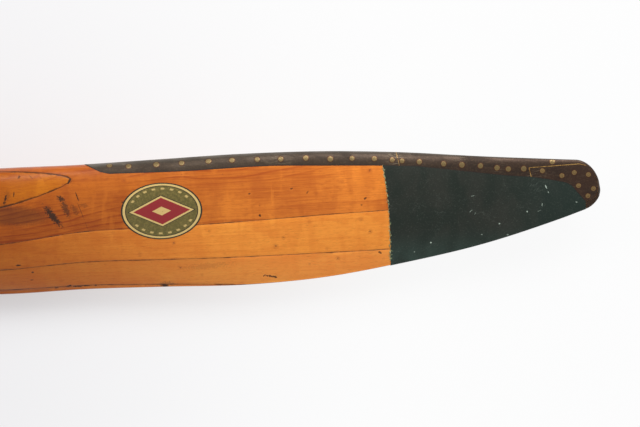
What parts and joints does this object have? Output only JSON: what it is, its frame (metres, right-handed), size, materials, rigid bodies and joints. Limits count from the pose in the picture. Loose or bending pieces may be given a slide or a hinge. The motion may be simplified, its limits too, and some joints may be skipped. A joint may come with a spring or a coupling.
{
  "type": "wooden propeller",
  "caption": "Fixed-pitch wooden aircraft propeller of glued boards, with brass leading edges and tip plates, green fabric tips, oval decals and a bolted steel hub with a captive nut.",
  "frame": {"origin": "on the shaft axis, on the hub's rear face that rests against the engine's thrust washer", "axes": "+Z forward along the shaft, +X along blade a, +Y to blade a's leading edge"},
  "size_m": [2.1324, 0.202, 0.1764],
  "materials": {
    "varnished_birch": "amber varnish over birch, satin gloss, aged",
    "aged_brass_sheath": "thin sheet, dark brown patina",
    "aged_brass_plate": "thin sheet, dark red-brown patina, soldered edge",
    "green_doped_fabric": "dark green doped cloth, semi-matt, a few chips",
    "decal_print": null,
    "brass_rivet": "flush heads, dull",
    "hub_steel": "turned steel, oiled",
    "plated_bolt_steel": "plated, dull",
    "cotter_steel": "plain wire"
  },
  "bodies": {
    "propeller": {"wood_board_1": "varnished_birch", "wood_board_2": "varnished_birch", "wood_board_3": "varnished_birch", "wood_board_4": "varnished_birch", "wood_board_5": "varnished_birch", "leading_edge_sheath_inboard_a": "aged_brass_sheath", "leading_edge_sheath_inboard_b": "aged_brass_sheath", "leading_edge_sheath_outboard_a": "aged_brass_sheath", "leading_edge_sheath_outboard_b": "aged_brass_sheath", "tip_plate_front_a": "aged_brass_plate", "tip_plate_front_b": "aged_brass_plate", "tip_plate_rear_a": "aged_brass_plate", "tip_plate_rear_b": "aged_brass_plate", "tip_fabric_a": "green_doped_fabric", "tip_fabric_b": "green_doped_fabric", "decal_a": "decal_print", "decal_b": "decal_print", "tip_rivet_1_a": "brass_rivet", "tip_rivet_1_b": "brass_rivet", "tip_rivet_2_a": "brass_rivet", "tip_rivet_2_b": "brass_rivet", "tip_rivet_3_a": "brass_rivet", "tip_rivet_3_b": "brass_rivet", "tip_rivet_4_a": "brass_rivet", "tip_rivet_4_b": "brass_rivet", "tip_rivet_5_a": "brass_rivet", "tip_rivet_5_b": "brass_rivet", "tip_rivet_6_a": "brass_rivet", "tip_rivet_6_b": "brass_rivet", "tip_rivet_7_a": "brass_rivet", "tip_rivet_7_b": "brass_rivet", "hub_body": "hub_steel", "front_flange": "hub_steel", "snap_ring": "hub_steel", "hub_bolt_1": "plated_bolt_steel", "hub_bolt_2": "plated_bolt_steel", "hub_bolt_3": "plated_bolt_steel", "hub_bolt_4": "plated_bolt_steel", "hub_bolt_5": "plated_bolt_steel", "hub_bolt_6": "plated_bolt_steel", "hub_bolt_7": "plated_bolt_steel", "hub_bolt_8": "plated_bolt_steel", "castle_nut_1": "plated_bolt_steel", "castle_nut_2": "plated_bolt_steel", "castle_nut_3": "plated_bolt_steel", "castle_nut_4": "plated_bolt_steel", "castle_nut_5": "plated_bolt_steel", "castle_nut_6": "plated_bolt_steel", "castle_nut_7": "plated_bolt_steel", "castle_nut_8": "plated_bolt_steel", "cotter_pin_1": "cotter_steel", "cotter_pin_2": "cotter_steel", "cotter_pin_3": "cotter_steel", "cotter_pin_4": "cotter_steel", "cotter_pin_5": "cotter_steel", "cotter_pin_6": "cotter_steel", "cotter_pin_7": "cotter_steel", "cotter_pin_8": "cotter_steel"},
    "captive_nut": {"hub_nut": "hub_steel"}
  },
  "joints": [
    {"name": "hub_nut_spin", "type": "hinge", "parent": "propeller", "child": "captive_nut", "pos_m": [0, 0, 0.14], "axis": [0, 0, 1], "continuous": true}
  ]
}
